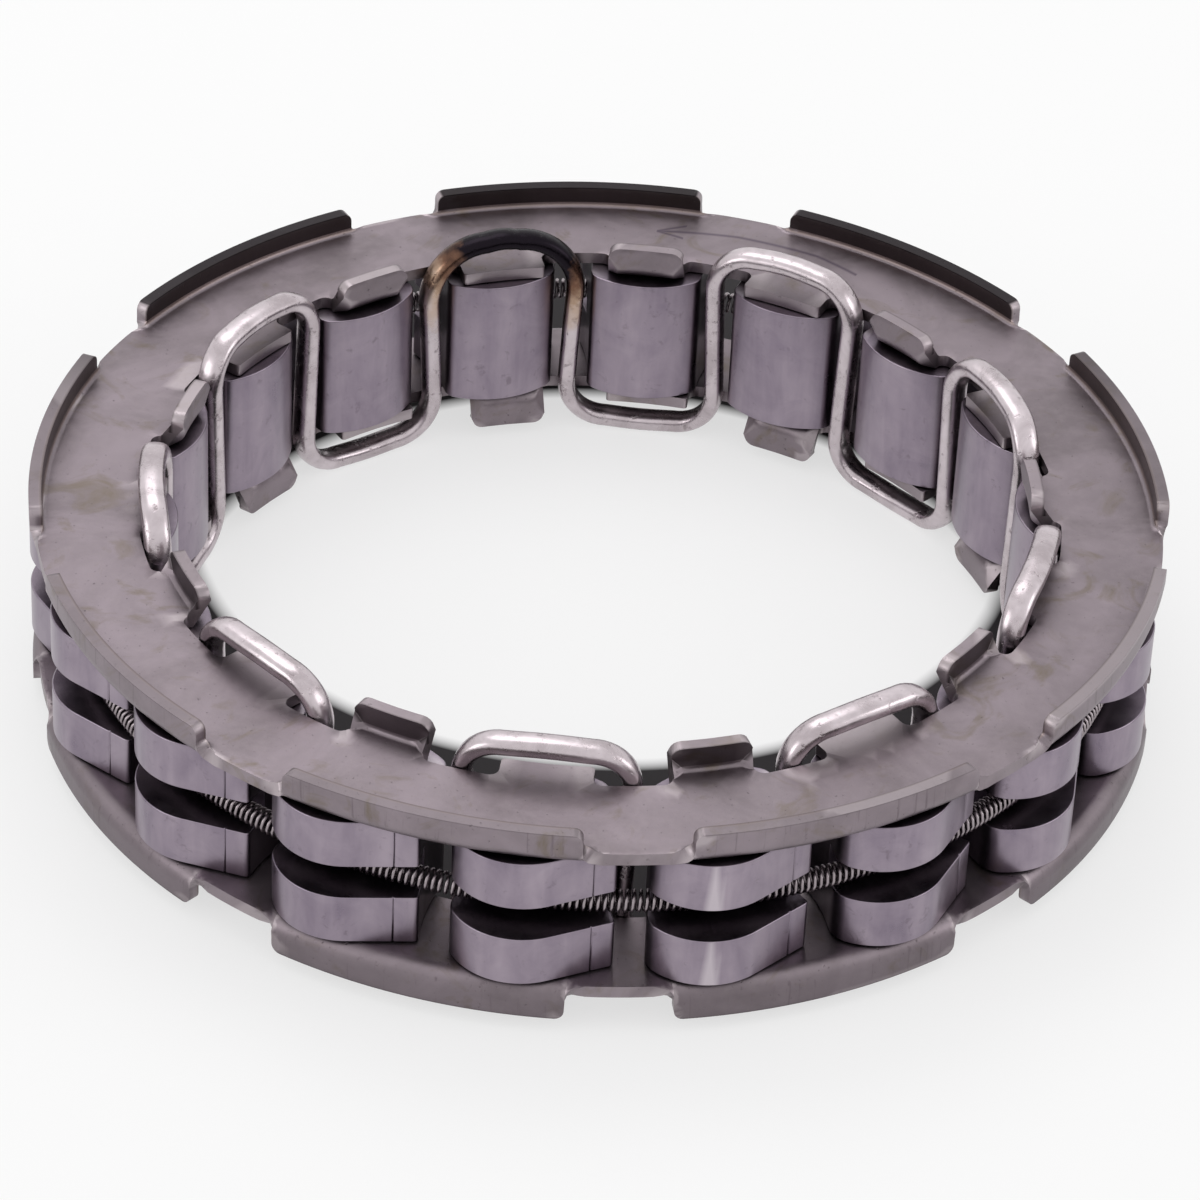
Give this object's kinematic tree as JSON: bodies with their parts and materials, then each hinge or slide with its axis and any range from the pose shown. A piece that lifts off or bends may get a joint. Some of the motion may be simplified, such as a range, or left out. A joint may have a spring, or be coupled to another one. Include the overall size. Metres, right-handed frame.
{
  "type": "sprag one-way clutch ring",
  "caption": "Ring of steel sprags between two pressed side plates, held by a looped wire cage and a garter spring; it locks two races one way and overruns the other.",
  "frame": {"origin": "on the clutch axis, half way between the two side plates", "axes": "+Z along the clutch axis; a gap between two rim lips faces -Y; the engraved arrow is on the +Z face"},
  "size_m": [0.098, 0.0977, 0.0218],
  "materials": {
    "plate_steel": "pressed sheet, satin, faint stains",
    "sprag_steel": "ground and hardened, satin",
    "wire_steel": "drawn, bright satin",
    "spring_steel": "drawn, oiled"
  },
  "bodies": {
    "cage": {"upper_side_plate": "plate_steel", "lower_side_plate": "plate_steel", "wire_cage": "wire_steel", "garter_spring": "spring_steel"},
    "sprag_01": {"sprag_01": "sprag_steel"},
    "sprag_02": {"sprag_02": "sprag_steel"},
    "sprag_03": {"sprag_03": "sprag_steel"},
    "sprag_04": {"sprag_04": "sprag_steel"},
    "sprag_05": {"sprag_05": "sprag_steel"},
    "sprag_06": {"sprag_06": "sprag_steel"},
    "sprag_07": {"sprag_07": "sprag_steel"},
    "sprag_08": {"sprag_08": "sprag_steel"},
    "sprag_09": {"sprag_09": "sprag_steel"},
    "sprag_10": {"sprag_10": "sprag_steel"},
    "sprag_11": {"sprag_11": "sprag_steel"},
    "sprag_12": {"sprag_12": "sprag_steel"},
    "sprag_13": {"sprag_13": "sprag_steel"},
    "sprag_14": {"sprag_14": "sprag_steel"},
    "sprag_15": {"sprag_15": "sprag_steel"},
    "sprag_16": {"sprag_16": "sprag_steel"},
    "sprag_17": {"sprag_17": "sprag_steel"},
    "sprag_18": {"sprag_18": "sprag_steel"}
  },
  "joints": [
    {"name": "sprag_01_rock", "type": "hinge", "parent": "cage", "child": "sprag_01", "pos_m": [0.0074, -0.04195, 0], "axis": [0, 0, 1], "range_deg": [-5, 0], "stiffness_Nm_per_rad": 0.01, "springref_deg": 5.73},
    {"name": "sprag_02_rock", "type": "hinge", "parent": "cage", "child": "sprag_02", "pos_m": [0.0213, -0.03689, 0], "axis": [0, 0, 1], "range_deg": [-5, 0], "stiffness_Nm_per_rad": 0.01, "springref_deg": 5.73},
    {"name": "sprag_03_rock", "type": "hinge", "parent": "cage", "child": "sprag_03", "pos_m": [0.03263, -0.02738, 0], "axis": [0, 0, 1], "range_deg": [-5, 0], "stiffness_Nm_per_rad": 0.01, "springref_deg": 5.73},
    {"name": "sprag_04_rock", "type": "hinge", "parent": "cage", "child": "sprag_04", "pos_m": [0.04003, -0.01457, 0], "axis": [0, 0, 1], "range_deg": [-5, 0], "stiffness_Nm_per_rad": 0.01, "springref_deg": 5.73},
    {"name": "sprag_05_rock", "type": "hinge", "parent": "cage", "child": "sprag_05", "pos_m": [0.0426, 0, 0], "axis": [0, 0, 1], "range_deg": [-5, 0], "stiffness_Nm_per_rad": 0.01, "springref_deg": 5.73},
    {"name": "sprag_06_rock", "type": "hinge", "parent": "cage", "child": "sprag_06", "pos_m": [0.04003, 0.01457, 0], "axis": [0, 0, 1], "range_deg": [-5, 0], "stiffness_Nm_per_rad": 0.01, "springref_deg": 5.73},
    {"name": "sprag_07_rock", "type": "hinge", "parent": "cage", "child": "sprag_07", "pos_m": [0.03263, 0.02738, 0], "axis": [0, 0, 1], "range_deg": [-5, 0], "stiffness_Nm_per_rad": 0.01, "springref_deg": 5.73},
    {"name": "sprag_08_rock", "type": "hinge", "parent": "cage", "child": "sprag_08", "pos_m": [0.0213, 0.03689, 0], "axis": [0, 0, 1], "range_deg": [-5, 0], "stiffness_Nm_per_rad": 0.01, "springref_deg": 5.73},
    {"name": "sprag_09_rock", "type": "hinge", "parent": "cage", "child": "sprag_09", "pos_m": [0.0074, 0.04195, 0], "axis": [0, 0, 1], "range_deg": [-5, 0], "stiffness_Nm_per_rad": 0.01, "springref_deg": 5.73},
    {"name": "sprag_10_rock", "type": "hinge", "parent": "cage", "child": "sprag_10", "pos_m": [-0.0074, 0.04195, 0], "axis": [0, 0, 1], "range_deg": [-5, 0], "stiffness_Nm_per_rad": 0.01, "springref_deg": 5.73},
    {"name": "sprag_11_rock", "type": "hinge", "parent": "cage", "child": "sprag_11", "pos_m": [-0.0213, 0.03689, 0], "axis": [0, 0, 1], "range_deg": [-5, 0], "stiffness_Nm_per_rad": 0.01, "springref_deg": 5.73},
    {"name": "sprag_12_rock", "type": "hinge", "parent": "cage", "child": "sprag_12", "pos_m": [-0.03263, 0.02738, 0], "axis": [0, 0, 1], "range_deg": [-5, 0], "stiffness_Nm_per_rad": 0.01, "springref_deg": 5.73},
    {"name": "sprag_13_rock", "type": "hinge", "parent": "cage", "child": "sprag_13", "pos_m": [-0.04003, 0.01457, 0], "axis": [0, 0, 1], "range_deg": [-5, 0], "stiffness_Nm_per_rad": 0.01, "springref_deg": 5.73},
    {"name": "sprag_14_rock", "type": "hinge", "parent": "cage", "child": "sprag_14", "pos_m": [-0.0426, 0, 0], "axis": [0, 0, 1], "range_deg": [-5, 0], "stiffness_Nm_per_rad": 0.01, "springref_deg": 5.73},
    {"name": "sprag_15_rock", "type": "hinge", "parent": "cage", "child": "sprag_15", "pos_m": [-0.04003, -0.01457, 0], "axis": [0, 0, 1], "range_deg": [-5, 0], "stiffness_Nm_per_rad": 0.01, "springref_deg": 5.73},
    {"name": "sprag_16_rock", "type": "hinge", "parent": "cage", "child": "sprag_16", "pos_m": [-0.03263, -0.02738, 0], "axis": [0, 0, 1], "range_deg": [-5, 0], "stiffness_Nm_per_rad": 0.01, "springref_deg": 5.73},
    {"name": "sprag_17_rock", "type": "hinge", "parent": "cage", "child": "sprag_17", "pos_m": [-0.0213, -0.03689, 0], "axis": [0, 0, 1], "range_deg": [-5, 0], "stiffness_Nm_per_rad": 0.01, "springref_deg": 5.73},
    {"name": "sprag_18_rock", "type": "hinge", "parent": "cage", "child": "sprag_18", "pos_m": [-0.0074, -0.04195, 0], "axis": [0, 0, 1], "range_deg": [-5, 0], "stiffness_Nm_per_rad": 0.01, "springref_deg": 5.73}
  ],
  "couplings": [
    {"joint": "sprag_02_rock", "follows": "sprag_01_rock", "ratio": 1},
    {"joint": "sprag_03_rock", "follows": "sprag_01_rock", "ratio": 1},
    {"joint": "sprag_04_rock", "follows": "sprag_01_rock", "ratio": 1},
    {"joint": "sprag_05_rock", "follows": "sprag_01_rock", "ratio": 1},
    {"joint": "sprag_06_rock", "follows": "sprag_01_rock", "ratio": 1},
    {"joint": "sprag_07_rock", "follows": "sprag_01_rock", "ratio": 1},
    {"joint": "sprag_08_rock", "follows": "sprag_01_rock", "ratio": 1},
    {"joint": "sprag_09_rock", "follows": "sprag_01_rock", "ratio": 1},
    {"joint": "sprag_10_rock", "follows": "sprag_01_rock", "ratio": 1},
    {"joint": "sprag_11_rock", "follows": "sprag_01_rock", "ratio": 1},
    {"joint": "sprag_12_rock", "follows": "sprag_01_rock", "ratio": 1},
    {"joint": "sprag_13_rock", "follows": "sprag_01_rock", "ratio": 1},
    {"joint": "sprag_14_rock", "follows": "sprag_01_rock", "ratio": 1},
    {"joint": "sprag_15_rock", "follows": "sprag_01_rock", "ratio": 1},
    {"joint": "sprag_16_rock", "follows": "sprag_01_rock", "ratio": 1},
    {"joint": "sprag_17_rock", "follows": "sprag_01_rock", "ratio": 1},
    {"joint": "sprag_18_rock", "follows": "sprag_01_rock", "ratio": 1}
  ]
}
